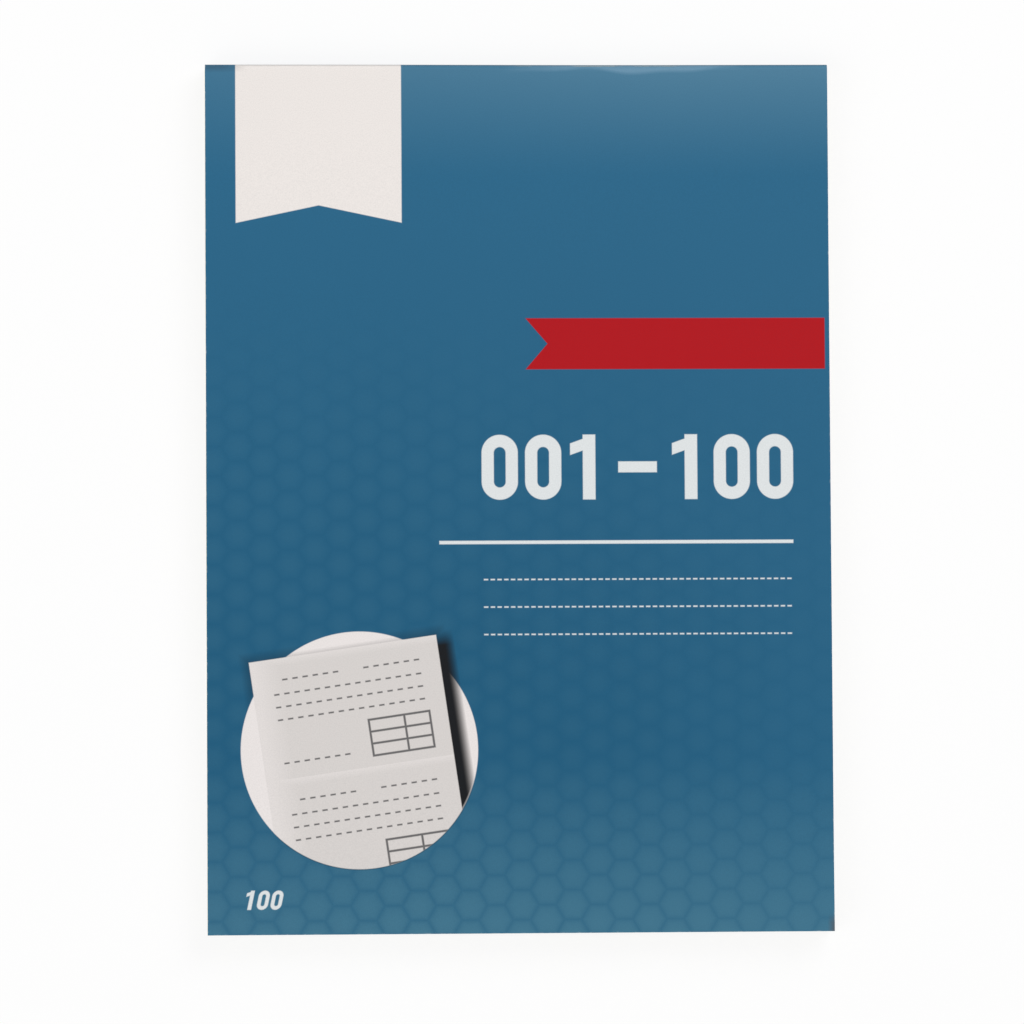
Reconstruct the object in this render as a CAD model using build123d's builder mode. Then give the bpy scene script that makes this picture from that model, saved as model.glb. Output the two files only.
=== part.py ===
"""Duplicate receipt book, head bound, lying on its back cover.

X runs across the page, Y towards the bound head, Z up through the front cover.
The origin is the middle of the back cover's underside. All sizes are in mm.
"""

import os

from build123d import *

os.makedirs("parts", exist_ok=True)

# The whole book
book_width = 148.0
book_height = 206.0

# Stock the pieces are cut from
card_thickness = 0.35
shield_thickness = 0.45
sheet_thickness = 0.075
glue_thickness = 0.65
wire_width = 0.7
wire_thickness = 0.45

# Fits between pieces
sheet_gap = 0.003
layer_gap = 0.02
hinge_gap = 0.05
hole_gap = 0.03

# Make-up of the block, a set is one top copy over one duplicate
set_count = 50
loose_sets = 3
bundle_sets = 10

# Page layout, from the head down
stub_width = 12.0
flap_width = 4.0
slit_length = 2.6
slit_width = 0.25
tie_length = 0.9

# Staples through the stubs
staple_span = 13.0
staple_spacing = 74.0
clench_length = 4.5

# Writing shield, a loose card behind the block
shield_margin = 1.0
shield_head_gap = 3.0
shield_corner = 3.0

# Levels through the thickness
sheet_pitch = sheet_thickness + sheet_gap
block_base = card_thickness + shield_thickness + 2 * layer_gap
block_top = block_base + 2 * set_count * sheet_pitch - sheet_gap
crown_top = block_top + wire_thickness
book_thickness = crown_top + layer_gap + card_thickness

# Lines across the page
foot = -book_height / 2
spine_face = book_height / 2 - card_thickness
head = spine_face - glue_thickness
staple_line = head - stub_width / 2
first_crease = head - stub_width
perforation = first_crease - flap_width
middle = (perforation + foot) / 2

# The cover turns on the middle of its own folded edge
hinge_y = book_height / 2 - card_thickness / 2
hinge_z = book_thickness - card_thickness / 2

# The fold at the back rounds off just below the first sheet
fold_radius = block_base

slit_pitch = slit_length + tie_length
slit_count = int((book_width - tie_length) // slit_pitch)
leg_offset = (staple_span - wire_thickness) / 2


def save(piece, name):
    piece.label = name
    export_step(piece, f"parts/{name}.step")


def sheet_level(set_number, is_top_copy):
    below = 2 * (set_count - set_number) + (1 if is_top_copy else 0)
    return block_base + below * sheet_pitch


def leg_places():
    sides = (-1, 1)
    return [
        (side * staple_spacing / 2 + leg * leg_offset, staple_line)
        for side in sides
        for leg in sides
    ]


def sheet(level, low, high, perforated=(), stapled=False):
    """One sheet or part of a sheet, with slits just below each perforated line."""
    with BuildPart() as paper:
        with BuildSketch(Plane.XY.offset(level)):
            with Locations((0, (low + high) / 2)):
                Rectangle(book_width, high - low)
            for line in perforated:
                with Locations((0, line - slit_width / 2)):
                    with GridLocations(slit_pitch, slit_pitch, slit_count, 1):
                        Rectangle(slit_length, slit_width, mode=Mode.SUBTRACT)
            if stapled:
                with Locations(*leg_places()):
                    Rectangle(
                        wire_thickness + 2 * hole_gap,
                        wire_width + 2 * hole_gap,
                        mode=Mode.SUBTRACT,
                    )
        extrude(amount=sheet_thickness)
    return paper.part


# Front cover panel, its folded edge a full round on the hinge line
with BuildPart() as front_cover:
    with BuildSketch(Plane.YZ):
        with Locations(((foot + hinge_y) / 2, hinge_z)):
            Rectangle(hinge_y - foot, card_thickness)
        with Locations((hinge_y, hinge_z)):
            Circle(card_thickness / 2)
    extrude(amount=book_width / 2, both=True)
save(front_cover.part, "front_cover")

# Back panel and spine panel, one card bent round the head
with BuildPart() as back_cover:
    spine_top = book_thickness - card_thickness - hinge_gap
    with BuildSketch(Plane.YZ) as bent_card:
        with BuildLine():
            Polyline(
                (foot, 0),
                (book_height / 2, 0),
                (book_height / 2, spine_top),
                (spine_face, spine_top),
                (spine_face, card_thickness),
                (foot, card_thickness),
                close=True,
            )
        make_face()
        at_head = bent_card.vertices().filter_by(lambda corner: corner.X > head)
        outer, inner = at_head.sort_by(Axis.Y)[:2]
        fillet(outer, radius=fold_radius)
        fillet(inner, radius=fold_radius - card_thickness)
    extrude(amount=book_width / 2, both=True)
save(back_cover.part, "back_cover")

# Binding glue between the heads of the sheets and the spine panel
with BuildPart() as spine_glue:
    with BuildSketch(Plane.XY.offset(block_base)):
        with Locations((0, (head + spine_face) / 2)):
            Rectangle(book_width, glue_thickness)
    extrude(amount=block_top - block_base)
save(spine_glue.part, "spine_glue")

# One staple: crown on the first stub, legs clenched inwards under the last
with BuildPart() as staple:
    staple_depth = crown_top - block_base + wire_thickness
    with BuildSketch(Plane.XZ) as bent_wire:
        Rectangle(staple_span, staple_depth)
        Rectangle(
            staple_span - 2 * wire_thickness,
            staple_depth - 2 * wire_thickness,
            mode=Mode.SUBTRACT,
        )
        with Locations((0, (wire_thickness - staple_depth) / 2)):
            Rectangle(staple_span - 2 * clench_length, wire_thickness, mode=Mode.SUBTRACT)
        ends = bent_wire.vertices().group_by(Axis.X)
        fillet(ends[0] + ends[-1], radius=wire_thickness)
    extrude(amount=wire_width / 2, both=True)

with BuildPart() as staples:
    staple_middle = (crown_top + block_base - wire_thickness) / 2
    with Locations(
        (-staple_spacing / 2, staple_line, staple_middle),
        (staple_spacing / 2, staple_line, staple_middle),
    ):
        add(staple.part)
save(staples.part, "staples")

# Writing shield, kept flat between the last sheet and the back panel
with BuildPart() as writing_shield:
    shield_head = first_crease - shield_head_gap
    with BuildSketch(Plane.XY.offset(card_thickness + layer_gap)):
        with Locations((0, (foot + shield_head) / 2)):
            RectangleRounded(
                book_width - 2 * shield_margin, shield_head - foot, shield_corner
            )
    extrude(amount=shield_thickness)
save(writing_shield.part, "writing_shield")

# The first sets, each sheet parted at its crease into a bound stub and a leaf.
# Each crease sits one sheet further from the head than the one above it,
# so that raised leaves lie against each other without crossing.
for set_number in range(1, loose_sets + 1):
    for is_top_copy in (True, False):
        kind = "top" if is_top_copy else "duplicate"
        level = sheet_level(set_number, is_top_copy)
        turns_above = 2 * (set_number - 1) + (0 if is_top_copy else 1)
        crease = first_crease - turns_above * sheet_pitch
        save(sheet(level, crease, head, stapled=True), f"{kind}_stub_{set_number}")
        if not is_top_copy:
            save(sheet(level, foot, crease), f"duplicate_leaf_{set_number}")
        elif set_number > 1:
            leaf = sheet(level, foot, crease, perforated=(perforation, middle))
            save(leaf, f"top_leaf_{set_number}")
        else:
            save(sheet(level, perforation, crease), "top_flap_1")
            save(sheet(level, middle, perforation, (perforation,)), "upper_receipt_1")
            save(sheet(level, foot, middle, (middle,)), "lower_receipt_1")

# The rest of the block, every sheet a solid of its own
first_set = loose_sets + 1
while first_set <= set_count:
    last_set = min(first_set - first_set % bundle_sets + bundle_sets, set_count)
    if first_set % bundle_sets == 0:
        last_set = first_set
    for is_top_copy in (True, False):
        kind = "top_copies" if is_top_copy else "duplicates"
        base = sheet_level(last_set, is_top_copy)
        page = sheet(base, foot, head, stapled=True)
        with BuildPart() as bundle:
            with Locations(
                *[(0, 0, 2 * step * sheet_pitch) for step in range(last_set - first_set + 1)]
            ):
                add(page)
        save(bundle.part, f"{kind}_{first_set:02d}_to_{last_set:02d}")
    first_set = last_set + 1
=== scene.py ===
import math

import bmesh
import bpy
from mathutils import Matrix, Vector


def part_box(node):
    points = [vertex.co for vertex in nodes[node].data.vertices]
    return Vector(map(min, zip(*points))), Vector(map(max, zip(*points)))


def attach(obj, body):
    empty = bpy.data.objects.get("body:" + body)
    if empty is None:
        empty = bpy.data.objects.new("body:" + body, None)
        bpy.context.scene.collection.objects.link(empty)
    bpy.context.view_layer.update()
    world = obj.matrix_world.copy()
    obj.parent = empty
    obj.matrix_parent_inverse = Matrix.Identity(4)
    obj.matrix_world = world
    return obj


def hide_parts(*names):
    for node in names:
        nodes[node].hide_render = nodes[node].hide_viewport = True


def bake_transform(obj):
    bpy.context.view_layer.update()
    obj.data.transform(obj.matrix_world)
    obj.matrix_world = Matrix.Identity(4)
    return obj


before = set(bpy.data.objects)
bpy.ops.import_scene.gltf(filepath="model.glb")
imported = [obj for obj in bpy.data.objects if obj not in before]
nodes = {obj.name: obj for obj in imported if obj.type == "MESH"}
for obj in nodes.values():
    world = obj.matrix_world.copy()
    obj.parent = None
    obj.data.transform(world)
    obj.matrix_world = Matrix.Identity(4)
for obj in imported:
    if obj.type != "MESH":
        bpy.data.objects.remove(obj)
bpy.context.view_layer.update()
mm = 0.001  # sizes below are in millimetres unless a note says otherwise
print("frame loaded:", len(nodes), "solids")


def span(node):  # lowest and highest corner
    low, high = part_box(node)
    return [v / mm for v in low], [v / mm for v in high]


coverLow, coverHigh = span("front_cover")
stubLow, stubHigh = span("top_stub_1")
page = {
    "half": coverHigh[0],
    "foot": coverLow[1],
    "spine": span("back_cover")[1][1],
    "head": stubHigh[1],
    "perforation": span("top_flap_1")[0][1],  # the first one, below the stub
    "middle": span("upper_receipt_1")[0][1],  # the second, between the receipts
    "card": coverHigh[2] - coverLow[2],
    "sheet": stubHigh[2] - stubLow[2],
    "slit": 0.25,
    "tie": 0.9,
    "tiePitch": 3.5,
    "tieCount": 43,
}
page["wide"] = 2 * page["half"]
page["tall"] = page["spine"] - page["foot"]
page["receipt"] = page["perforation"] - page["middle"]


# shader and node sums written as plain expressions
class Flow:
    def __init__(self, tree, socket=None):
        self.tree, self.socket = tree, socket

    def node(self, kind, settings=None, sockets=None, out=0):
        made = self.tree.nodes.new(kind)
        for key, value in (settings or {}).items():
            setattr(made, key, value)
        for key, value in (sockets or {}).items():
            if isinstance(value, Flow):
                self.tree.links.new(value.socket, made.inputs[key])
            else:
                made.inputs[key].default_value = value
        return Flow(self.tree, made.outputs[out])

    def maths(self, operation, *values, clamp=False):
        settings = {"operation": operation, "use_clamp": clamp}
        return self.node("ShaderNodeMath", settings, dict(enumerate((self, *values))))

    def __add__(self, other):
        return self.maths("ADD", other)

    def __sub__(self, other):
        return self.maths("SUBTRACT", other)

    def __rsub__(self, other):
        return self.node("ShaderNodeMath", {"operation": "SUBTRACT"}, {0: other, 1: self})

    def __mul__(self, other):
        return self.maths("MULTIPLY", other)

    def __truediv__(self, other):
        return self.maths("DIVIDE", other)

    def __pow__(self, other):
        return self.maths("POWER", other)

    def __abs__(self):
        return self.maths("ABSOLUTE")

    __radd__ = __add__
    __rmul__ = __mul__

    def most(self, *others):
        best = self
        for other in others:
            best = best.maths("MAXIMUM", other)
        return best

    def least(self, *others):
        best = self
        for other in others:
            best = best.maths("MINIMUM", other)
        return best

    def wrap(self, half):
        return self.maths("WRAP", half, -half)

    def ramp(self, low, high):  # 0 at low, 1 at high, held outside
        scale = 1 / (high - low)
        return self.maths("MULTIPLY_ADD", scale, -low * scale, clamp=True)

    def fill(self, soft):  # 1 where the distance is below 0
        return self.maths("MULTIPLY_ADD", -1 / soft, 0.5, clamp=True)

    def tint(self, under, over):
        return self.node("ShaderNodeMix", {"data_type": "RGBA"}, {0: self, 6: under, 7: over}, 2)

    def between(self, tones):  # a pair of colours as they look
        return self.tint(*(ink(*tone) for tone in tones))

    def grain(self, scale, detail=2.0, rough=0.5):  # self is a place
        sockets = {"Vector": self, "Scale": scale, "Detail": detail, "Roughness": rough}
        return self.node("ShaderNodeTexNoise", None, sockets)

    def stretch(self, by):
        return self.node("ShaderNodeVectorMath", {"operation": "MULTIPLY"}, {0: self, 1: by})

    def part(self, axis):
        return self.node("ShaderNodeSeparateXYZ", None, {0: self}, axis)

    def feed(self, shader, name):
        self.tree.links.new(self.socket, shader.inputs[name])

    def bump(self, shader, depth, strength):  # depth in metres
        sockets = {"Strength": strength, "Distance": depth, "Height": self}
        self.node("ShaderNodeBump", None, sockets).feed(shader, "Normal")


def ink(red, green, blue):  # a colour as it looks, 0 to 255
    seen = [value / 255 for value in (red, green, blue)]
    return (*(v / 12.92 if v <= 0.04045 else ((v + 0.055) / 1.055) ** 2.4 for v in seen), 1.0)


def surface(name, gloss):
    material = bpy.data.materials.new(name)
    material.use_nodes = True
    shader = material.node_tree.nodes["Principled BSDF"]
    shader.inputs["Specular IOR Level"].default_value = gloss
    place = Flow(material.node_tree).node("ShaderNodeTexCoord", None, None, "Object")
    return material, shader, place


def flatMap(place):  # the unfolded sheet, from the piece's own map
    return place.node("ShaderNodeUVMap", {"uv_map": "flat"})


def onPage(flat):  # how far across and along the page
    x = flat.part(0).maths("MULTIPLY_ADD", page["wide"], -page["half"])
    y = flat.part(1).maths("MULTIPLY_ADD", page["tall"], page["foot"])
    return x, y


def block(x, y, left, right, low, high):  # distance to a rectangle
    wide = abs(x - (left + right) / 2) - (right - left) / 2
    tall = abs(y - (low + high) / 2) - (high - low) / 2
    return wide.most(tall)


# rules and table of one receipt, measured from its perforation down
form = {
    "left": -58.0,
    "right": 60.0,
    "topLine": (17.0, 4.0, 8.0, 55.0),  # how far down, middle, half gap, reach
    "lines": (28.0, 10.0, 3),  # first, pitch, count
    "signLine": (82.0, -4.0),  # how far down, right end
    "table": (12.0, 40.0, 58.0),  # left, split, top
    "rows": (9.4, 3),  # pitch, count
    "fine": 0.75,  # pen of the dashed lines, against the table's
    "dash": 0.26,  # half a dash, against the dashes' pitch
}


def formMarks(x, down, pen, dash, soft):
    half = pen / 2
    fine = half * form["fine"]
    left, right = form["left"], form["right"]
    first, pitch, count = form["lines"]
    last = first + pitch * (count - 1)
    lines = abs((down - first).wrap(pitch / 2)) - fine
    lines = lines.most(block(x, down, left, right, first - pitch / 2, last + pitch / 2))
    depth, middle, gap, reach = form["topLine"]
    off = abs(x - middle)
    top = (abs(down - depth) - fine).most(off - reach, gap - off)
    depth, end = form["signLine"]
    sign = block(x, down, left, end, depth - fine, depth + fine)
    dashes = (abs(x.wrap(dash / 2)) - dash * form["dash"]).most(lines.least(top, sign))
    tableLeft, split, tableTop = form["table"]
    row, count = form["rows"]
    table = block(x, down, tableLeft, right, tableTop, tableTop + row * count)
    rules = abs((down - tableTop).wrap(row / 2)) - half
    rules = rules.least(abs(x - split) - half).most(table)
    return dashes.least(rules, abs(table) - half).fill(soft)


# digits for plain numbering, as distances
flag = {"slope": 0.36, "drop": 0.62, "half": 0.46, "trim": 0.2}  # of a 1, the last three in strokes


def zero(x, y, wide, tall, stroke):
    r = wide / 2
    over = (abs(y) - (tall / 2 - r)).most(0)
    rim = (x * x + over * over).maths("SQRT") - (r - stroke / 2)
    return abs(rim) - stroke / 2


def one(x, y, tall, stroke, reach):
    stem = (abs(x) - stroke / 2).most(abs(y) - tall / 2)
    slope = y - x * flag["slope"] - (tall / 2 - stroke * flag["drop"])
    side = abs(x + reach / 2) - (reach + stroke) / 2 + flag["trim"] * stroke
    slant = (abs(slope) - stroke * flag["half"]).most(side, abs(y) - tall / 2)
    return stem.least(slant)


# cover print: places are on the unfolded card, which goes on past the head to the back
printSoft = 0.22  # how far an edge of the print blurs
coverInk = {
    "blue": ink(38, 99, 133),
    "deep": ink(24, 87, 120),
    # the two pale tones paint a sheen of light at the head and the foot; the foot's tone also
    # lightens the printed honeycomb cells
    "headPale": ink(75, 123, 150),
    "footPale": ink(67, 118, 141),
    "white": ink(235, 229, 225),
    "red": ink(173, 8, 19),
    "number": ink(222, 226, 227),
    "disc": ink(233, 227, 225),
    "form": ink(214, 209, 206),
    "mark": ink(62, 62, 64),
    "shade": ink(7, 8, 11),
    # painted highlight and painted shade on the head fold
    "foldHighlight": ink(150, 184, 208),
    "foldShade": ink(46, 62, 76),
    "speck": ink(20, 40, 60),
    "bareCard": ink(204, 208, 210),
    # painted shade at the lower right corner
    "cornerShade": ink(84, 80, 80),
}

honeycomb = {
    "column": 6.05,  # pitch of the columns
    "tall": 7.0,
    "at": (0.0, -82.3),
    "presence": (0.48, -25.0, 5.0),  # how strong, and where
    "lost": (0.004, 0.0035),  # for each mm to the right and up
    "strongest": 0.72,
    "fadeIn": (48, 6),
    "behind": (120, 240),  # comes back towards the foot of the back panel
    "behindBy": 0.5,
    "cloudy": (0.55, 0.9),  # least, more with the cloud
    "glow": (1.0, 0.3),  # paler towards a cell's middle
    "glowBy": 0.2,
    "line": (0.62, 1.02),  # deeper on its sides
    "lineBy": 0.6,
}


def honeycombCells(x, y, cloud):  # comb is 0 at a cell's middle and 1 on its sides
    h = honeycomb
    column, tall = h["column"], h["tall"]
    left, low = h["at"]

    def cell(px, py):
        ax, ay = abs(px.wrap(column)), abs(py.wrap(tall / 2))
        return ay.most(ax * math.cos(math.radians(30)) + ay * 0.5) / (tall / 2)

    comb = cell(x - left, y - low).least(cell(x - (left + column), y - (low + tall / 2)))
    strong, atX, atY = h["presence"]
    lostX, lostY = h["lost"]
    presence = (strong - (y - atY) * lostY - (x - atX) * lostX).least(h["strongest"])
    presence = presence * y.ramp(*h["fadeIn"])
    least, more = h["cloudy"]
    presence = presence.most(y.ramp(*h["behind"]) * h["behindBy"]) * (least + more * cloud)
    return comb, presence


groundFade = {  # pairs go from, to
    "deepen": (75, -45),
    "deepenLess": (10, 72),  # across to the right
    "deepenLessBy": 0.5,
    "cloudy": (0.7, 0.6),  # least, more with the cloud
    # painted sheen of light towards the head, then towards the foot
    "headPale": (76, 101),
    "headCurve": 1.25,
    "headAcross": (-74, 36),
    "headBy": (0.52, 0.4),  # least, more across
    "headEnd": (109, 104),
    "footPale": (-62, -102),
    "footAcross": (-70, -20),
    "footBy": (0.62, 0.1),
}


def blueGround(x, y, cloud):  # painted sheen of light, paler towards the head and the foot
    g, h = groundFade, honeycomb
    least, more = g["cloudy"]
    depth = y.ramp(*g["deepen"]) * (1 - g["deepenLessBy"] * x.ramp(*g["deepenLess"]))
    depth = depth * (least + more * cloud)
    least, more = g["headBy"]
    # painted sheen of light towards the head and towards the foot
    headSheen = y.ramp(*g["headPale"]) ** g["headCurve"] * (least + more * x.ramp(*g["headAcross"]))
    headSheen = headSheen * y.ramp(*g["headEnd"])
    least, more = g["footBy"]
    footSheen = y.ramp(*g["footPale"]) * (least + more * x.ramp(*g["footAcross"]))
    comb, presence = honeycombCells(x, y, cloud)
    glow = comb.ramp(*h["glow"]) * presence
    line = comb.ramp(*h["line"]) ** 2 * presence
    colour = depth.tint(coverInk["blue"], coverInk["deep"])
    colour = headSheen.tint(colour, coverInk["headPale"])
    colour = (footSheen + glow * h["glowBy"]).tint(colour, coverInk["footPale"])
    return (line * h["lineBy"]).tint(colour, coverInk["deep"])


whiteRibbon = {"middle": -47.18, "half": 19.65, "tips": 65.25, "notch": 4.15, "end": 104.3}
redRibbon = {"middle": 36.4, "half": 6.07, "tips": 1.7, "notch": 5.2, "end": 72.9}


def ribbon(along, across, look):
    off = abs(across - look["middle"])
    tail = (look["tips"] + look["notch"]) - off * (look["notch"] / look["half"]) - along
    return (off - look["half"]).most(tail, along - look["end"]).fill(printSoft)


discPicture = {  # a form lying over a disc
    "at": (-38.1, -59.65),
    "radius": 28.0,
    "formAt": (-64.15, -38.9),  # upper left corner
    "formWide": 44.7,
    "turn": 8.25,
    "shoulder": 15.0,  # below this the form ends at the disc
    "shadow": (2.0, 0.5),  # how far aside, how much wider than the form
    "shadowEdge": (-1.0, 1.6),
    "shadowTop": (-1.0, 2.6),
    "shadowSoft": 0.8,
    "halo": (2.4, 0.0),
    "haloDisc": (0, 0.4),  # none on the disc
    "haloBy": 0.4,
    "topLight": (6, 0),  # paler below each receipt's top
    "topLightBy": 0.5,
    "sideLight": (7, 1),  # and towards the left
    "sideLightBy": 0.55,
    "pen": 1.7,  # in the form's own size
    "dash": 8.0,
    "penSoft": 0.7,
    "penBy": 0.86,
}


def picturedForm(x, y, colour):
    d = discPicture
    wide, size = d["formWide"], page["wide"] / d["formWide"]
    dx, dy = x - d["at"][0], y - d["at"][1]
    disc = (dx * dx + dy * dy).maths("SQRT") - d["radius"]
    turn = math.radians(d["turn"])
    fx, fy = x - d["formAt"][0], y - d["formAt"][1]
    right = fx * math.cos(turn) + fy * math.sin(turn)
    down = fx * math.sin(turn) - fy * math.cos(turn)
    sheet = (abs(right - wide / 2) - wide / 2).most(0 - down)
    kept = disc.least(down - d["shoulder"])
    aside, wider = d["shadow"]
    lit = (abs(right - (wide / 2 + aside)) - (wide / 2 + wider)).ramp(*d["shadowEdge"])
    cast = (1 - lit ** 2) * down.ramp(*d["shadowTop"])
    halo = sheet.ramp(*d["halo"]) * disc.ramp(*d["haloDisc"]) * d["haloBy"]
    shade = cast.most(halo) * kept.fill(d["shadowSoft"])
    colour = disc.fill(printSoft).tint(colour, coverInk["disc"])
    colour = shade.tint(colour, coverInk["shade"])
    below = (down * size).maths("WRAP", page["receipt"], 0)
    topLight = below.ramp(*d["topLight"]) * d["topLightBy"]
    sideLight = right.ramp(*d["sideLight"]) * d["sideLightBy"]
    paper = topLight.most(sideLight).tint(coverInk["form"], coverInk["disc"])
    marks = formMarks(right * size - page["half"], below, d["pen"], d["dash"], d["penSoft"])
    paper = (marks * d["penBy"]).tint(paper, coverInk["mark"])
    return sheet.most(kept).fill(printSoft).tint(colour, paper)


coverNumber = {
    "at": (28.1, 7.1),
    "tall": 15.4,
    "zero": (8.6, 2.9),  # width, stroke
    "zeros": (27.55, 5.15),  # middle of a pair, half its pitch
    "one": (3.0, 3.6),  # stroke, reach of its flag
    "ones": (16.6, 12.1, 18.0),  # first, half their pitch, limit
    "dash": (4.6, 1.3),  # half length, half pen
}


def coverFigures(x, y):
    c = coverNumber
    nx, ny = x - c["at"][0], y - c["at"][1]
    pair, step = c["zeros"]
    zeros = zero(abs(abs(nx) - pair) - step, ny, c["zero"][0], c["tall"], c["zero"][1])
    first, step, limit = c["ones"]
    ones = one((x - first).wrap(step), ny, c["tall"], *c["one"]).most(abs(nx) - limit)
    long, pen = c["dash"]
    return zeros.least(ones, block(nx, ny, -long, long, -pen, pen))


writeIn = {
    "rule": (-19.0, 65.0, -11.1, -10.3),  # left, right, low, high
    "lines": (-8.8, 64.8, -34.0, -18.0),
    "lineAt": (-26.0, 3.25, 0.16),  # middle one, half their pitch, half pen
    "dash": (0.8, 0.5),  # half pitch, half length
}


def writeInLines(x, y):
    middle, step, pen = writeIn["lineAt"]
    lines = (abs((y - middle).wrap(step)) - pen).most(block(x, y, *writeIn["lines"]))
    step, long = writeIn["dash"]
    return lines.most(abs(x.wrap(step)) - long).least(block(x, y, *writeIn["rule"]))


pageCount = {
    "at": (-60.9, -94.8),
    "slant": 0.21,
    "tall": 4.5,
    "zero": (2.6, 0.85),  # width, stroke
    "zeros": (1.6, 1.6),  # middle of the pair, half its pitch
    "one": (0.9, 1.0),  # stroke, reach of its flag
    "oneAt": -2.9,
}


def countFigures(x, y):
    c = pageCount
    ny = y - c["at"][1]
    nx = x - c["at"][0] - ny * c["slant"]
    pair, step = c["zeros"]
    zeros = zero(abs(nx - pair) - step, ny, c["zero"][0], c["tall"], c["zero"][1])
    return zeros.least(one(nx - c["oneAt"], ny, c["tall"], *c["one"]))


# painted highlight and painted shade on the head fold
foldLight = {  # pairs go from, to
    "ripples": ((0.185, -0.95, 0.54), (0.39, 0.85, 0.27)),  # rate, shift, height
    "foldHighlight": (100.95, 101.9),
    "foldHighlightEnd": (108, 104),
    "foldHighlightLeft": (-3, 13),
    "foldHighlightRight": (54, 46),
    "foldHighlightBy": 0.27,
    "foldShade": (101.0, 102.2),  # painted shade at the left corner
    "foldShadeLeft": (-64, -70),
    "foldShadeBy": 0.4,
    # painted shade along the fold's outer edge, which turns away from the light
    "edge": (102.5, 103.3),
    "edgeEnd": (105.5, 104),
    "edgeBy": 0.5,
}


def paintFoldLight(x, y, colour):  # painted highlight from the middle to the right, painted shade at the left corner and along its edge
    f = foldLight
    ripple = sum((x * rate + shift).maths("SINE") * height for rate, shift, height in f["ripples"])
    foldHighlight = (y - ripple).ramp(*f["foldHighlight"]) * y.ramp(*f["foldHighlightEnd"])
    foldHighlight = foldHighlight * x.ramp(*f["foldHighlightLeft"]) * x.ramp(*f["foldHighlightRight"])
    foldShade = y.ramp(*f["foldShade"]) * x.ramp(*f["foldShadeLeft"]) * f["foldShadeBy"]
    foldShade = foldShade.most(y.ramp(*f["edge"]) * f["edgeBy"]).least(y.ramp(*f["edgeEnd"]))
    colour = (foldHighlight * f["foldHighlightBy"]).tint(colour, coverInk["foldHighlight"])
    return foldShade.tint(colour, coverInk["foldShade"])


edgeWearAndCornerShade = {  # pairs go from, to
    "deep": (0.3, 0.0),
    "rub": (0.52, 0.78),
    "wornBy": 0.6,
    "speck": (0.35, 0.75),
    "speckBy": 0.1,
    # painted shade at the lower right corner, made uneven by the rubbing
    "cornerShadeX": (72.3, 73.8),
    "cornerShadeY": (-98.8, -101.2),
    "cornerShadeBy": (0.3, 0.7),  # least, more where it is rubbed
}


def coverPrint():
    material, shader, place = surface("coverPrint", 0.14)
    flat = flatMap(place)
    x, y = onPage(flat)
    colour = blueGround(x, y, flat.grain(5.0, 3.0))
    colour = ribbon(y, x, whiteRibbon).tint(colour, coverInk["white"])
    colour = ribbon(x, y, redRibbon).tint(colour, coverInk["red"])
    colour = picturedForm(x, y, colour)
    figures = coverFigures(x, y).least(writeInLines(x, y), countFigures(x, y))
    colour = figures.fill(printSoft).tint(colour, coverInk["number"])
    # painted highlight and shade on the head fold
    colour = paintFoldLight(x, y, colour)
    # bare card where the print is worn off the edges, and painted shade at the lifted lower right
    # corner
    w = edgeWearAndCornerShade
    edge = (page["half"] - abs(x)).least(y - page["foot"])
    rub = place.grain(900, 4.0, 0.7)
    speck = place.grain(3800, 2.0)
    worn = edge.ramp(*w["deep"]) * rub.ramp(*w["rub"])
    # painted shade at the lifted lower right corner
    corner = x.ramp(*w["cornerShadeX"]) * y.ramp(*w["cornerShadeY"])
    least, more = w["cornerShadeBy"]
    colour = (speck.ramp(*w["speck"]) * w["speckBy"]).tint(colour, coverInk["speck"])
    colour = (worn * w["wornBy"]).tint(colour, coverInk["bareCard"])
    colour = (corner * (least + more * rub)).tint(colour, coverInk["cornerShade"])
    colour.feed(shader, "Base Color")
    scuff = place.stretch((1.0, 0.12, 1.0)).grain(420, 3.0, 0.65)
    (0.34 + 0.12 * scuff + 0.25 * worn).feed(shader, "Roughness")
    (speck * 0.6 + place.grain(260, 2.0) * 0.4).bump(shader, 0.00003, 0.35)
    return material


papers = {  # lighter and darker tone of a sheet and of its cut edge, ink of the form
    "top": {
        "sheet": ((238, 238, 235), (229, 229, 225)),
        "edge": ((243, 242, 239), (214, 211, 206)),
        "print": (52, 74, 104),
    },
    "duplicate": {
        "sheet": ((248, 238, 170), (242, 230, 154)),
        "edge": ((252, 246, 208), (232, 222, 174)),
        "print": (70, 84, 92),
    },
}
formPen = {"pen": 0.35, "dash": 1.7, "soft": 0.2, "strength": 0.85}


def paperStock(name, tones, printed=None):
    material, shader, place = surface(name, 0.25)
    shader.inputs["Subsurface Weight"].default_value = 0.5  # light comes through a single sheet
    shader.inputs["Subsurface Radius"].default_value = (1.0, 1.0, 1.0)
    shader.inputs["Subsurface Scale"].default_value = 0.0003
    cloud = place.grain(260, 2.0, 0.5)  # uneven formation, seen as a faint mottle
    fibre = place.stretch((1.0, 0.35, 1.0)).grain(2400, 3.0, 0.7)
    mottle = cloud.ramp(0.3, 0.75) * 0.3 + fibre.ramp(0.35, 0.7) * 0.7
    colour = mottle.between(tones)
    if printed:
        p = formPen
        x, y = onPage(flatMap(place))
        down = (page["perforation"] - y).maths("WRAP", page["receipt"], 0)
        marks = formMarks(x, down, p["pen"], p["dash"], p["soft"])
        marks = marks * (y - page["perforation"]).fill(p["soft"])  # none on the stub
        colour = (marks * p["strength"]).tint(colour, ink(*printed))
    colour.feed(shader, "Base Color")
    (0.78 + 0.14 * fibre).feed(shader, "Roughness")
    (fibre * 0.7 + cloud * 0.3).bump(shader, 0.00002, 0.4)
    return material


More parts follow.
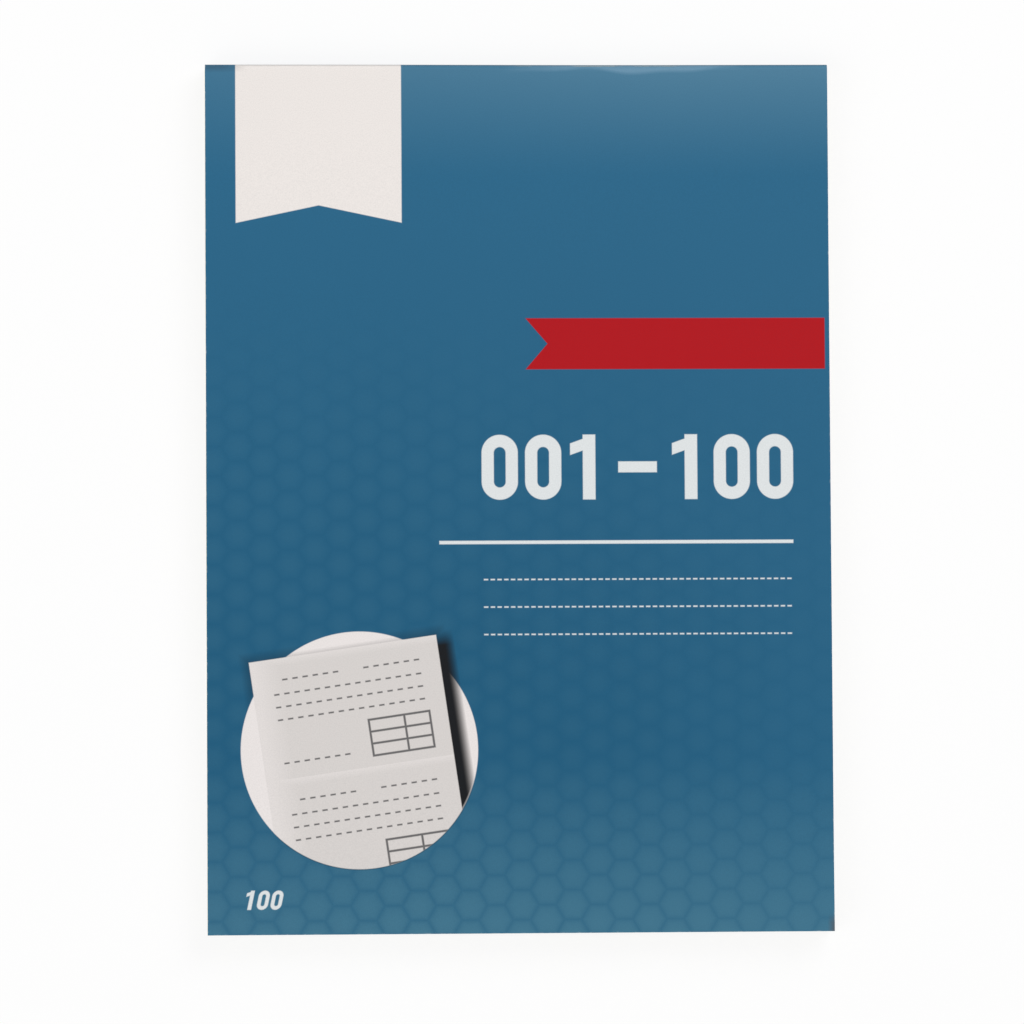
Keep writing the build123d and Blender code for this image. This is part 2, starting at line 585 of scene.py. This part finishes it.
def cutEdge(name, tones):  # painted shade in fine lines between the sheets, drag marks where the knife went down
    material, shader, place = surface(name, 0.2)
    line = place.stretch((0.03, 0.03, 1.0)).grain(3200, 3.0, 0.75)
    drag = place.stretch((1.0, 1.0, 0.05)).grain(1400, 2.0, 0.6)
    # the fine lines paint shade between the sheets; the drag marks are the edge's own
    mark = line.ramp(0.42, 0.72) * 0.75 + drag.ramp(0.5, 0.8) * 0.25
    mark.between(tones).feed(shader, "Base Color")
    (0.84 + 0.12 * drag).feed(shader, "Roughness")
    line.bump(shader, 0.00003, 0.5)
    return material


stocks = {  # lighter and darker tone of each
    "cardInside": ((232, 230, 225), (218, 215, 208)),
    "cardCore": ((226, 224, 219), (190, 186, 178)),
    "shield": ((190, 180, 164), (158, 147, 130)),
    "shieldFlecks": ((220, 213, 200), (96, 88, 78)),
    "glue": ((226, 218, 196), (200, 188, 158)),
    "number": ((186, 44, 48), (160, 28, 36)),
    "wire": ((198, 199, 202), (158, 160, 164)),
}


def cardStock(name, layers):  # more layers show on a cut edge
    material, shader, place = surface(name, 0.25)
    fibre = place.stretch((1.0, 0.5, layers)).grain(1500, 4.0, 0.7)
    cloud = place.grain(120, 2.0)
    (fibre.ramp(0.3, 0.72) * 0.7 + cloud * 0.3).between(stocks[name]).feed(shader, "Base Color")
    (0.8 + 0.12 * fibre).feed(shader, "Roughness")
    fibre.bump(shader, 0.00004, 0.5)
    return material


def shieldStock():
    material, shader, place = surface("shieldBoard", 0.3)
    pulp = place.stretch((1.0, 0.4, 1.0)).grain(700, 5.0, 0.72)
    fleck = place.grain(1900, 2.0, 0.5)
    pale, dark = [ink(*tone) for tone in stocks["shieldFlecks"]]
    colour = pulp.ramp(0.3, 0.72).between(stocks["shield"])
    colour = (fleck.ramp(0.68, 0.74) * 0.7).tint(colour, dark)
    colour = (fleck.ramp(0.31, 0.26) * 0.6).tint(colour, pale)
    colour.feed(shader, "Base Color")
    (0.7 + 0.2 * pulp).feed(shader, "Roughness")
    pulp.bump(shader, 0.00006, 0.6)
    return material


def glueStock():
    material, shader, place = surface("glueFilm", 0.5)
    run = place.stretch((0.35, 1.0, 1.0)).grain(500, 3.0, 0.6)
    run.ramp(0.3, 0.75).between(stocks["glue"]).feed(shader, "Base Color")
    (0.3 + 0.3 * run).feed(shader, "Roughness")
    run.bump(shader, 0.0001, 0.6)
    return material


def numberInk():
    material, shader, place = surface("numberInk", 0.3)
    press = place.grain(2600, 3.0, 0.7)
    press.ramp(0.3, 0.72).between(stocks["number"]).feed(shader, "Base Color")
    (0.6 + 0.25 * press).feed(shader, "Roughness")
    return material


def wireStock():
    material, shader, place = surface("stapleWire", 0.5)
    shader.inputs["Metallic"].default_value = 1.0
    drawn = place.stretch((0.06, 1.0, 1.0)).grain(5200, 2.0)
    drawn.ramp(0.3, 0.7).between(stocks["wire"]).feed(shader, "Base Color")
    (0.22 + 0.22 * drawn).feed(shader, "Roughness")
    drawn.bump(shader, 0.00001, 0.5)
    return material


looks = {
    "print": coverPrint(),
    "inside": cardStock("cardInside", 1.0),
    "core": cardStock("cardCore", 9.0),
    "shield": shieldStock(),
    "glue": glueStock(),
    "number": numberInk(),
    "wire": wireStock(),
}
for kind, paper in papers.items():
    looks[kind + "Paper"] = paperStock(kind + "Paper", paper["sheet"])
    looks[kind + "Form"] = paperStock(kind + "Form", paper["sheet"], paper["print"])
    looks[kind + "Edge"] = cutEdge(kind + "Edge", paper["edge"])
print("materials:", ", ".join(material.name for material in looks.values()))


def steps(low, high, count):
    return [low + (high - low) * i / count for i in range(count + 1)]


def smooth(value):
    value = min(1.0, max(0.0, value))
    return value * value * (3 - 2 * value)


sharpFrom = 40.0  # degrees between two faces


def makePiece(name, mesh, materials):
    data = bpy.data.meshes.new(name)
    mesh.to_mesh(data)
    mesh.free()
    for material in materials:
        data.materials.append(looks[material])
    data.set_sharp_from_angle(angle=math.radians(sharpFrom))
    piece = bpy.data.objects.new(name, data)
    bpy.context.scene.collection.objects.link(piece)
    return piece


faceLook = {"printed": 0, "plain": 1, "edge": 2, "number": 3}  # order of a piece's materials


# a thin closed skin over a grid of (point, normal, map place), printed face first
def skin(mesh, grid, thickness):
    layer = mesh.loops.layers.uv.get("flat") or mesh.loops.layers.uv.new("flat")
    spots = {}

    def lay(depth):
        sheet = []
        for row in grid:
            sheet.append([])
            for point, normal, spot in row:
                corner = mesh.verts.new((point - normal * depth) * mm)
                spots[corner] = spot
                sheet[-1].append(corner)
        return sheet

    outer, inner = lay(0), lay(thickness)

    def quad(corners, look):
        face = mesh.faces.new(corners)
        face.material_index, face.smooth = faceLook[look], True
        for loop in face.loops:
            loop[layer].uv = spots[loop.vert]

    rows, columns = len(grid), len(grid[0])
    for r in range(rows - 1):
        for c in range(columns - 1):
            around = ((r, c), (r, c + 1), (r + 1, c + 1), (r + 1, c))
            quad([outer[i][j] for i, j in around], "printed")
            quad([inner[i][j] for i, j in reversed(around)], "plain")
    rim = [(0, c) for c in range(columns)]
    rim += [(r, columns - 1) for r in range(1, rows)]
    rim += [(rows - 1, c) for c in range(columns - 2, -1, -1)]
    rim += [(r, 0) for r in range(rows - 2, 0, -1)]
    for (r, c), (nr, nc) in zip(rim, rim[1:] + rim[:1]):
        quad((inner[r][c], inner[nr][nc], outer[nr][nc], outer[r][c]), "edge")


# a closed skin over rings of points, each turning left round the way ahead
def loft(mesh, rings):
    rings = [[mesh.verts.new(point * mm) for point in ring] for ring in rings]
    for ring, after in zip(rings, rings[1:]):
        for k in range(len(ring)):
            n = (k + 1) % len(ring)
            mesh.faces.new((ring[k], ring[n], after[n], after[k])).smooth = True
    mesh.faces.new(rings[0][::-1])
    mesh.faces.new(rings[-1])


def gridFrom(lines):  # lines of (x, [(point, normal, length along the card)]) to rows of a skin
    columns = []
    for x, line in lines:
        across = (x + page["half"]) / page["wide"]
        columns.append([(p, n, (across, along / page["tall"])) for p, n, along in line])
    return [list(row) for row in zip(*columns)]


# front cover: panel, rounded head fold and the upper part of the spine
frontCover = {
    "columns": 64,
    "panelRows": 80,
    "foldRows": 12,
    "spineRows": 6,
    "seam": 5.6,  # height on the spine where the back cover takes over
    "lap": 0.004,  # the two cards pass the seam by this much
    "fold": (0.95, 0.85, 22.0, 40.0),  # least radius, rise, where, how wide
    "sink": (0.28, 94.0, 50.0),  # depth, from, over: the panel settles below the staples
    "spring": (0.3, -40.0, 63.0),  # lift, from, over: along the foot
    "springWave": (27.0, 0.6, 0.25),  # mm for each radian, shift, share of the lift
    "buckle": (0.05, 90.0, 40.0),  # height, from, over
    "buckleWave": (21.0, 1.0, 27.0),  # mm for each radian across, shift, the same along
    "corner": (0.55, 30.0),  # lift and reach of the handled lower right corner
    "bendStart": (0, 0.1030, 0.0080),  # metres
    "bendEnd": (0, 0.1015, 0.0094),
}


def coverTop(x, y):
    depth, start, over = frontCover["sink"]
    level = coverHigh[2] - depth * smooth((start - y) / over)
    lift, start, over = frontCover["spring"]
    across, shift, share = frontCover["springWave"]
    wave = 1 - share + share * math.sin(x / across + shift)
    level += lift * smooth((start - y) / over) * wave
    lift, start, over = frontCover["buckle"]
    across, shift, along = frontCover["buckleWave"]
    wave = math.sin(x / across + shift) * math.sin(y / along)
    level += lift * smooth((start - y) / over) * wave
    lift, reach = frontCover["corner"]
    return level + lift * smooth((x - page["half"] + page["foot"] - y + reach) / reach) ** 2


def foldRadius(x):
    least, rise, where, wide = frontCover["fold"]
    return least + rise * math.exp(-(((x - where) / wide) ** 2))


def coverLine(x):
    c, r, line = frontCover, foldRadius(x), []
    bend = page["spine"] - r
    top = coverTop(x, bend)
    for y in steps(page["foot"], bend, c["panelRows"]):
        line.append((Vector((x, y, coverTop(x, y))), Vector((0, 0, 1)), y - page["foot"]))
    along = bend - page["foot"]
    for angle in steps(0, math.pi / 2, c["foldRows"])[1:]:
        normal = Vector((0, math.sin(angle), math.cos(angle)))
        line.append((Vector((x, bend, top - r)) + normal * r, normal, along + r * angle))
    along += r * math.pi / 2
    for z in steps(top - r, c["seam"] + c["lap"], c["spineRows"])[1:]:
        line.append((Vector((x, page["spine"], z)), Vector((0, 1, 0)), along + top - r - z))
    return x, line


mesh = bmesh.new()
places = steps(-page["half"], page["half"], frontCover["columns"])
skin(mesh, gridFrom(coverLine(x) for x in places), page["card"])
cover = makePiece("frontCover", mesh, ("print", "inside", "core"))
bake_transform(cover)
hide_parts("front_cover")
print("front cover:", len(cover.data.polygons), "faces")


# back cover: the rest of the spine, the lower fold and the back panel
backCover = {
    "columns": 24,
    "panelRows": 30,
    "foldRows": 10,
    "spineRows": 4,
    "radius": 0.84,
    "past": 3.4,  # the front cover's card reaches this far past the page's length
}


def backLine(x):
    c, r, line = backCover, backCover["radius"], []
    seam, spine = frontCover["seam"], page["spine"]
    along = page["tall"] + c["past"] + seam
    for z in steps(seam - frontCover["lap"], r, c["spineRows"]):
        line.append((Vector((x, spine, z)), Vector((0, 1, 0)), along - z))
    along -= r
    for angle in steps(0, math.pi / 2, c["foldRows"])[1:]:
        normal = Vector((0, math.cos(angle), -math.sin(angle)))
        line.append((Vector((x, spine - r, r)) + normal * r, normal, along + r * angle))
    along += r * math.pi / 2
    for y in steps(spine - r, page["foot"], c["panelRows"])[1:]:
        line.append((Vector((x, y, 0)), Vector((0, 0, -1)), along + spine - r - y))
    return x, line


mesh = bmesh.new()
places = steps(-page["half"], page["half"], backCover["columns"])
skin(mesh, gridFrom(backLine(x) for x in places), page["card"])
back = makePiece("backCover", mesh, ("print", "inside", "core"))
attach(back, "book")
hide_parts("back_cover")
print("back cover:", len(back.data.polygons), "faces")


# node trees for what repeats
def nodeTree(name, sockets):
    made = bpy.data.node_groups.new(name, "GeometryNodeTree")
    made.interface.new_socket("Geometry", in_out="OUTPUT", socket_type="NodeSocketGeometry")
    for label, kind in sockets.items():
        made.interface.new_socket(label, in_out="INPUT", socket_type="NodeSocket" + kind)
    group = made.nodes.new("NodeGroupInput")
    given = {label: Flow(made, group.outputs[label]) for label in sockets}
    return made, Flow(made), given


def ending(flow, geometry, material, where=True):
    real = flow.node("GeometryNodeRealizeInstances", None, {0: geometry})
    sockets = {0: real, "Selection": where, "Material": material}
    done = flow.node("GeometryNodeSetMaterial", None, sockets)
    last = flow.tree.nodes.new("NodeGroupOutput")
    flow.tree.links.new(done.socket, last.inputs[0])


def vector(flow, x, y, z):
    return flow.node("ShaderNodeCombineXYZ", None, {0: x, 1: y, 2: z})


def pointRow(flow, count, start, step):
    sockets = {"Count": count, "Start Location": start, "Offset": step}
    return flow.node("GeometryNodeMeshLine", {"mode": "OFFSET"}, sockets)


def brick(flow, x, y, z):
    corners = {"Vertices X": 2, "Vertices Y": 2, "Vertices Z": 2}
    return flow.node("GeometryNodeMeshCube", None, {"Size": vector(flow, x, y, z), **corners})


def sheetStackTree():
    made, flow, given = nodeTree("sheetStack", {
        "Count": "Int", "Pitch": "Float", "Base": "Float", "Middle": "Float", "Width": "Float",
        "Length": "Float", "Thickness": "Float", "Stray": "Float", "Seed": "Int",
        "Edge": "Material", "Paper": "Material",
    })
    start = vector(flow, 0.0, given["Middle"], given["Base"] + given["Thickness"] * 0.5)
    line = pointRow(flow, given["Count"], start, vector(flow, 0.0, 0.0, given["Pitch"]))
    sheet = brick(flow, given["Width"], given["Length"], given["Thickness"])
    stray = given["Stray"]
    low = vector(flow, stray * -1, stray * -0.6, 0.0)
    high = vector(flow, stray, stray * 0.6, 0.0)
    drift = flow.node("FunctionNodeRandomValue", {"data_type": "FLOAT_VECTOR"}, {
        0: low, 1: high, "Seed": given["Seed"]})
    moved = flow.node("GeometryNodeSetPosition", None, {"Geometry": line, "Offset": drift})
    edged = flow.node("GeometryNodeSetMaterial", None, {0: sheet, "Material": given["Edge"]})
    laid = flow.node("GeometryNodeInstanceOnPoints", None, {"Points": moved, "Instance": edged})
    level = abs(flow.node("GeometryNodeInputNormal").part(2)).maths("GREATER_THAN", 0.5)
    ending(flow, laid, given["Paper"], level)  # upper and lower faces of the sheets
    return made


def tiesTree():
    made, flow, given = nodeTree("perforationTies", {
        "Count": "Int", "Pitch": "Float", "Line": "Float", "Level": "Float",
        "Tie Length": "Float", "Tie Width": "Float", "Thickness": "Float", "Paper": "Material",
    })
    first = (given["Count"] - 1) * given["Pitch"] * -0.5
    low = given["Line"] - given["Tie Width"] * 0.5
    start = vector(flow, first, low, given["Level"] + given["Thickness"] * 0.5)
    line = pointRow(flow, given["Count"], start, vector(flow, given["Pitch"], 0.0, 0.0))
    tie = brick(flow, given["Tie Length"], given["Tie Width"], given["Thickness"])
    laid = flow.node("GeometryNodeInstanceOnPoints", None, {"Points": line, "Instance": tie})
    ending(flow, laid, given["Paper"])
    return made


def plainMesh(piece):
    bpy.context.view_layer.update()
    shown = piece.evaluated_get(bpy.context.evaluated_depsgraph_get())
    return bpy.data.meshes.new_from_object(shown)


def grow(name, group, values):
    piece = bpy.data.objects.new(name, bpy.data.meshes.new(name))
    bpy.context.scene.collection.objects.link(piece)
    modifier = piece.modifiers.new(name, "NODES")
    modifier.node_group = group
    for item in group.interface.items_tree:
        if item.in_out == "INPUT":
            modifier[item.identifier] = values[item.name]
    data = plainMesh(piece)
    piece.modifiers.clear()
    piece.data = data
    return piece


# the block: sets 4 to 50, white and yellow sheets in turn, under the first white one
stack = {
    "sets": 47,
    "stray": 0.06,  # how far a sheet may lie out of line
    "whiteSeed": 4,
    "yellowSeed": 9,
}
stackTree = sheetStackTree()
bundles = ("04_to_10", "11_to_20", "21_to_30", "31_to_40", "41_to_50")
for name, solids, kind, seed, count in (
    ("whiteStack", "top_copies", "top", stack["whiteSeed"], stack["sets"] - 1),
    ("yellowStack", "duplicates", "duplicate", stack["yellowSeed"], stack["sets"]),
):
    stood = [f"{solids}_{bundle}" for bundle in bundles]
    low, high = span(stood[-1])
    top = span(stood[0])[1][2]
    pitch = (top - page["sheet"] - low[2]) / (stack["sets"] - 1)
    pile = grow(name, stackTree, {
        "Count": count, "Pitch": pitch * mm, "Base": low[2] * mm,
        "Middle": (low[1] + high[1]) / 2 * mm, "Width": page["wide"] * mm,
        "Length": (high[1] - low[1]) * mm, "Thickness": page["sheet"] * mm,
        "Stray": stack["stray"] * mm, "Seed": seed,
        "Edge": looks[kind + "Edge"], "Paper": looks[kind + "Paper"],
    })
    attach(pile, "book")
    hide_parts(*stood)
    print(name, "sheets:", count, "pitch", round(pitch, 4))


# loose sheets: a stub, and a leaf that joins it at the crease
looseSheets = {
    "columns": 4,
    "stubRows": 4,
    "flatRows": 6,
    # a length from the crease towards the foot
    "flapRows": 12,
    "bend": 32.0,  # a leaf bends over this length
    "fineRows": (40.0, 40),  # over this length, this many
    "coarseRows": 24,
    "clear": 0.3,  # no row comes nearer to a slit
    "flapClear": 0.4,
}
numbering = {"tall": 6.2, "right": 60.0, "down": 11.0, "raised": 0.012, "merge": 0.0001}
foot, head = page["foot"], page["head"]
cut, middle, slit = page["perforation"], page["middle"], page["slit"]
perforationTree = tiesTree()


def panel(mesh, level, rows):
    lines, up = [], Vector((0, 0, 1))
    for x in steps(-page["half"], page["half"], looseSheets["columns"]):
        lines.append((x, [(Vector((x, y, level + page["sheet"])), up, y - foot) for y in rows]))
    skin(mesh, gridFrom(lines), page["sheet"])


def takeIn(mesh, data, look):  # adds a mesh, returns its corners
    knownVerts, knownFaces = len(mesh.verts), len(mesh.faces)
    mesh.from_mesh(data)
    mesh.verts.ensure_lookup_table()
    mesh.faces.ensure_lookup_table()
    for face in mesh.faces[knownFaces:]:
        face.material_index, face.smooth = faceLook[look], False
    bpy.data.meshes.remove(data)
    return mesh.verts[knownVerts:]


def ties(mesh, level, line, paper):
    made = grow("ties", perforationTree, {
        "Count": page["tieCount"], "Pitch": page["tiePitch"] * mm, "Line": line * mm,
        "Level": level * mm, "Tie Length": page["tie"] * mm, "Tie Width": slit * mm,
        "Thickness": page["sheet"] * mm, "Paper": looks[paper],
    })
    data = made.data
    bpy.data.objects.remove(made)
    takeIn(mesh, data, "plain")


def stampNumber(mesh, level, line, number):
    n = numbering
    curve = bpy.data.curves.new("number", "FONT")
    curve.body, curve.align_x, curve.resolution_u = f"{number:03d}", "RIGHT", 3
    curve.size, curve.extrude = n["tall"] * mm, n["raised"] * mm
    holder = bpy.data.objects.new("number", curve)
    bpy.context.scene.collection.objects.link(holder)
    data = plainMesh(holder)
    bpy.data.objects.remove(holder)
    bpy.data.curves.remove(curve)
    at = Vector((n["right"], line - n["down"], level + page["sheet"]))
    data.transform(Matrix.Translation(at * mm))
    bmesh.ops.remove_doubles(mesh, verts=takeIn(mesh, data, "number"), dist=n["merge"] * mm)


def looseSheet(name, level, parts, perforated, kind, numbers):
    mesh = bmesh.new()
    for rows in parts:
        panel(mesh, level, rows)
    for line in perforated:
        ties(mesh, level, line, kind + "Paper")
    for line, number in numbers:
        stampNumber(mesh, level, line, number)
    return makePiece(name, mesh, (kind + "Form", kind + "Paper", kind + "Edge", "number"))


def bendUp(leaf, crease, end, level):
    crease * mm
    level * mm
    end * mm
    level * mm
    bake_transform(leaf)


def tornSheet():  # set 1's top copy: stub and flap, and two receipts that tear off
    s, stub = looseSheets, "top_stub_1"
    level, crease = stubLow[2], stubLow[1]
    rows = steps(cut, crease, s["flapRows"]) + steps(crease, head, s["stubRows"])[1:]
    flap = looseSheet("topStub1", level, [rows], (), "top", ())
    bendUp(flap, crease, cut + s["flapClear"], level)
    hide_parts(stub, "top_flap_1")
    for name, body, line, end, number in (
        ("upperReceipt", "upper_receipt", cut, middle, 1),
        ("lowerReceipt", "lower_receipt", middle, foot, 2),
    ):
        rows = steps(end, line - slit, s["flatRows"])
        receipt = looseSheet(name, level, [rows], (line,), "top", [(line, number)])
        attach(receipt, body)
        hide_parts(body + "_1")


def turnedSheet(kind, setNumber):  # a whole sheet, its leaf and its stub in one
    s, stub = looseSheets, f"{kind}_stub_{setNumber}"
    low = span(stub)[0]
    level, crease = low[2], low[1]
    fine, count = s["fineRows"]
    rows = steps(foot, crease - fine, s["coarseRows"])  # finer towards the crease
    rows += steps(crease - fine, crease, count)[1:] + steps(crease, head, s["stubRows"])[1:]
    parts, perforated, body = [rows], (), f"duplicate_{setNumber}"
    if kind == "top":
        clear, perforated, body = s["clear"], (cut, middle), f"top_copy_{setNumber}"
        lower = [y for y in rows if y < middle - slit - clear]
        upper = [y for y in rows if middle + clear < y < cut - slit - clear]
        stubRows = [y for y in rows if y > cut + clear]
        parts = [lower + [middle - slit], [middle] + upper + [cut - slit], [cut] + stubRows]
    numbers = [(cut, 2 * setNumber - 1), (middle, 2 * setNumber)]
    leaf = looseSheet(f"{kind}Sheet{setNumber}", level, parts, perforated, kind, numbers)
    bendUp(leaf, crease, crease - s["bend"], level)
    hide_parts(stub, f"{kind}_leaf_{setNumber}")


def restingSheet(setNumber):  # the first top copy that stays down, seen when the leaves are up
    s, level = looseSheets, span("top_copies_04_to_10")[1][2] - page["sheet"]
    ends = ((foot, middle - slit), (middle, cut - slit))
    parts = [steps(low, high, s["flatRows"]) for low, high in ends]
    parts.append(steps(cut, head, s["stubRows"]))
    numbers = [(cut, 2 * setNumber - 1), (middle, 2 * setNumber)]
    sheet = looseSheet(f"topSheet{setNumber}", level, parts, (cut, middle), "top", numbers)
    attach(sheet, "book")


tornSheet()
turnedSheet("duplicate", 1)
for setNumber in (2, 3):
    turnedSheet("top", setNumber)
    turnedSheet("duplicate", setNumber)
restingSheet(4)
print("loose sheets: 3 sets and the top copy of the next")


# staples of flattened wire, bent over under the block
staple = {
    "span": 13.0,
    "wide": 0.7,
    "thick": 0.45,
    "bend": 0.4,
    "bendSteps": 6,
    "clench": 4.2,
    "tip": 0.8,  # the cut ends are a little smaller
    "sides": 14,
    "square": 0.6,  # 1 is an oval section, less is squarer
}


def wirePath(left, right, low, high):
    half, r, clench = staple["thick"] / 2, staple["bend"], staple["clench"]
    left, right, low, high = left + half, right - half, low + half, high - half
    corners = [(left + clench, low), (left, low), (left, high)]
    corners += [(right, high), (right, low), (right - clench, low)]
    path = [Vector(corners[0])]
    for before, at, after in zip(corners, corners[1:], corners[2:]):
        at = Vector(at)
        into, out = (Vector(before) - at).normalized(), (Vector(after) - at).normalized()
        turn = at + (into + out) * r
        for angle in steps(0, math.pi / 2, staple["bendSteps"]):
            path.append(turn - out * r * math.cos(angle) - into * r * math.sin(angle))
    return path + [Vector(corners[-1])]


def squared(value):
    return math.copysign(abs(value) ** staple["square"], value)


def wireRings(path, y):
    rings, last = [], len(path) - 1
    for i, at in enumerate(path):
        ahead = path[min(i + 1, last)] - path[max(i - 1, 0)]
        side = Vector((-ahead.y, ahead.x)).normalized()
        tip = staple["tip"] if i in (0, last) else 1.0
        ring = []
        for k in range(staple["sides"]):
            angle = 2 * math.pi * k / staple["sides"]
            across = squared(math.cos(angle)) * staple["wide"] / 2 * tip
            spot = at + side * squared(math.sin(angle)) * staple["thick"] / 2 * tip
            ring.append(Vector((spot.x, y + across, spot.y)))
        rings.append(ring)
    return rings


low, high = span("staples")
mesh = bmesh.new()
for left in (low[0], high[0] - staple["span"]):
    path = wirePath(left, left + staple["span"], low[2], high[2])
    loft(mesh, wireRings(path, (low[1] + high[1]) / 2))
wires = makePiece("stapleWires", mesh, ("wire",))
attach(wires, "book")
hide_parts("staples")
print("staples:", len(wires.data.polygons), "faces")


# glue between the heads of the sheets and the spine, drawn up against the card
spineGlue = {
    "columns": 148,
    "points": 8,
    "climb": 0.24,
    "curve": 2.4,
    "sag": 0.05,
    "uneven": (0.015, 0.06),  # over the heads, up the card
    "hollow": 0.15,  # under the last sheet
    "waves": ((0.37, 1.3, 1.0), (0.9, 0.0, 0.6), (2.3, 0.4, 0.3)),  # rate, shift, size
}


def glueRing(x, low, high):  # under the last sheet, up the card, back over the heads
    g, wide = spineGlue, high[1] - low[1]
    wave = sum(size * math.sin(x * rate + shift) for rate, shift, size in g["waves"])
    topUneven, climbUneven = g["uneven"]
    top = high[2] - g["sag"] + topUneven * wave
    climb = g["climb"] + climbUneven * wave
    across = steps(0, 1, g["points"])
    under = [(t, low[2] + g["hollow"] * math.sin(math.pi * t)) for t in across]
    over = [(t, top + climb * t ** g["curve"]) for t in reversed(across)]
    return [Vector((x, low[1] + wide * t, z)) for t, z in under + over]


low, high = span("spine_glue")
mesh = bmesh.new()
loft(mesh, [glueRing(x, low, high) for x in steps(low[0], high[0], spineGlue["columns"])])
glue = makePiece("spineGlue", mesh, ("glue",))
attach(glue, "book")
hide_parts("spine_glue")
print("glue:", len(glue.data.polygons), "faces")

# the writing shield keeps its solid
for slot in nodes["writing_shield"].material_slots:
    slot.material = looks["shield"]


# floor, light and camera
studio = {
    "floor": 40.0,  # metres each way
    "floorDrop": 0.00002,
    "floorTone": 0.9,
    "floorWhite": 0.84,  # how much of the floor that is seen shows plain white
    "ambient": 0.5,
    "lamps": (  # place, aim, size, watts
        ((0.75, 0.9, 1.35), (0, 0, 0), 1.1, 14.5),
        ((-1.1, -0.6, 1.5), (0, 0, 0), 1.3, 12.5),
    ),
    "lens": 200.0,
    "sensor": 36.0,
    "farthest": 100.0,
    "cameraAt": (-0.06622, -0.07092, 1.35246),
    "cameraTurn": (2.886, -2.73, -0.348),  # degrees
}


def seenDirectly(flow):
    rays = ("Is Camera Ray", "Is Glossy Ray", "Is Transmission Ray")
    camera, *others = [flow.node("ShaderNodeLightPath", None, None, ray) for ray in rays]
    return camera.most(*others)


def floorLook():
    material = bpy.data.materials.new("floor")
    material.use_nodes = True
    made = material.node_tree
    made.nodes.clear()
    flow, tone = Flow(made), studio["floorTone"]
    matt = flow.node("ShaderNodeBsdfDiffuse", None, {"Color": (tone, tone, tone, 1)})
    white = flow.node("ShaderNodeEmission", None, {"Color": (1, 1, 1, 1), "Strength": 1.0})
    share = seenDirectly(flow) * studio["floorWhite"]
    mixed = flow.node("ShaderNodeMixShader", None, {0: share, 1: matt, 2: white})
    end = made.nodes.new("ShaderNodeOutputMaterial")
    made.links.new(mixed.socket, end.inputs["Surface"])
    return material


reach, drop = studio["floor"], -studio["floorDrop"]
corners = [(x * reach, y * reach, drop) for x, y in ((-1, -1), (1, -1), (1, 1), (-1, 1))]
floor = bpy.data.meshes.new("floor")
floor.from_pydata(corners, [], [(0, 1, 2, 3)])
floor.materials.append(floorLook())
ground = bpy.data.objects.new("floor", floor)
bpy.context.scene.collection.objects.link(ground)

world = bpy.data.worlds.new("studio")
world.use_nodes = True
bpy.context.scene.world = world
background = world.node_tree.nodes["Background"]
background.inputs["Color"].default_value = (1, 1, 1, 1)
ambient = studio["ambient"]
seen = seenDirectly(Flow(world.node_tree))
seen.maths("MULTIPLY_ADD", 1 - ambient, ambient).feed(background, "Strength")

for i, (at, aim, size, watts) in enumerate(studio["lamps"]):
    lamp = bpy.data.lights.new(f"softbox{i + 1}", "AREA")
    lamp.size, lamp.energy = size, watts
    holder = bpy.data.objects.new(lamp.name, lamp)
    holder.location = at
    holder.rotation_euler = (Vector(aim) - Vector(at)).to_track_quat("-Z", "Y").to_euler()
    holder.visible_camera = False
    bpy.context.scene.collection.objects.link(holder)

lens = bpy.data.cameras.new("camera")
lens.lens, lens.sensor_width, lens.clip_end = studio["lens"], studio["sensor"], studio["farthest"]
camera = bpy.data.objects.new("camera", lens)
camera.location = studio["cameraAt"]
camera.rotation_euler = [math.radians(angle) for angle in studio["cameraTurn"]]
bpy.context.scene.collection.objects.link(camera)
bpy.context.scene.camera = camera
bpy.context.scene.view_settings.view_transform = "Standard"
print("stage set")

bpy.context.view_layer.update()
